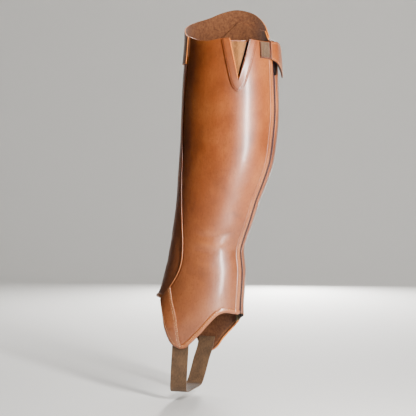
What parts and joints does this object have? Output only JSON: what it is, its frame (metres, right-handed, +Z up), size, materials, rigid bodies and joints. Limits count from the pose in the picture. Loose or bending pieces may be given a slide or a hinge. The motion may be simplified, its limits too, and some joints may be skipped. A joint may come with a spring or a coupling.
{
  "type": "half chap",
  "caption": "Tall leather half chap for a right leg, with a raised outer knee, an elasticated top notch, a rear zip under a snapped guard tab and an elastic band under the foot.",
  "frame": {"origin": "middle of the calf opening, 340 mm above the floor under the wearer's boot, where the leg carries the chap", "axes": "+Z up along the leg to the knee, -Y to the toe, +Y to the back of the calf, +X to the inner side of the leg, -X to the outer side"},
  "size_m": [0.1204, 0.1612, 0.4855],
  "materials": {
    "cognac_leather": "waxed full-grain calf leather, satin",
    "taupe_webbing": "woven elastic webbing, matt",
    "dark_webbing": "woven elastic webbing, matt",
    "tan_elastic": "ribbed elastic, matt",
    "zip_cloth": "woven zip tape, matt",
    "gunmetal": "gunmetal plating, satin"
  },
  "bodies": {
    "chap": {"inner_panel": "cognac_leather", "outer_panel": "cognac_leather", "knee_piece": "cognac_leather", "top_strap": "cognac_leather", "inner_vamp": "cognac_leather", "outer_vamp": "cognac_leather", "notch_facing": "cognac_leather", "notch_gusset": "tan_elastic", "zip_tape": "zip_cloth", "zip_placket": "cognac_leather", "rear_elastic": "dark_webbing", "front_welt": "cognac_leather", "guard_tab": "cognac_leather", "tab_elastic": "taupe_webbing", "snap_cap": "gunmetal", "foot_strap": "taupe_webbing", "zip_slider": "gunmetal", "zip_stop": "gunmetal"},
    "zip_pull": {"zip_pull": "gunmetal"}
  },
  "joints": [
    {"name": "pull_swing", "type": "hinge", "parent": "chap", "child": "zip_pull", "pos_m": [0.00966, 0.06104, 0.085], "axis": [0.9903, -0.139, 0], "range_deg": [0, 8]}
  ]
}
